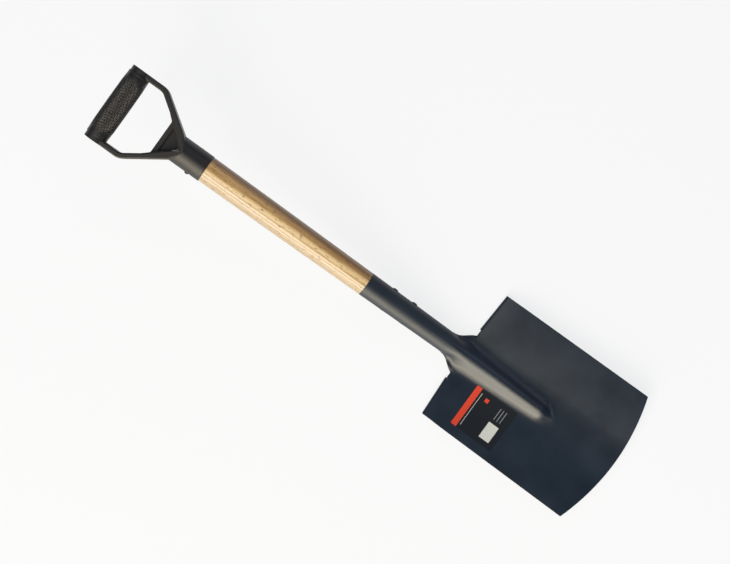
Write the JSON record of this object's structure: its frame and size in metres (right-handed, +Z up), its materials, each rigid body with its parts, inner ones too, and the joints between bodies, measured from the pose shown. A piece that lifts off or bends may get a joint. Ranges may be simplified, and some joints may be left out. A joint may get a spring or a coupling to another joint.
{
  "type": "square point shovel",
  "caption": "Short digging and scooping shovel with a ridged steel blade, turned foot treads, rolled socket, tapered wooden shaft and a moulded D-shaped hand grip.",
  "frame": {"origin": "on the floor, at the middle of the overall length and width of the shovel lying face up on its treads and the back of its neck", "axes": "+Y from the blade's mouth towards the hand grip, +Z up out of the pan's face, +X across the blade"},
  "size_m": [0.211, 0.8748, 0.1512],
  "materials": {
    "blade_paint": "semi-gloss black enamel on stamped steel sheet",
    "shaft_wood": "clear varnish over straight-grained pale hardwood",
    "grip_plastic": "fine-grained charcoal black moulding",
    "fastener_paint": "black enamel on steel",
    "label_film": "printed self-adhesive film"
  },
  "bodies": {
    "root": {"blade": "blade_paint", "shaft": "shaft_wood", "d_grip": "grip_plastic", "socket_rivet_upper": "fastener_paint", "socket_rivet_lower": "fastener_paint", "grip_pin": "fastener_paint", "blade_label": "label_film"}
  },
  "joints": []
}
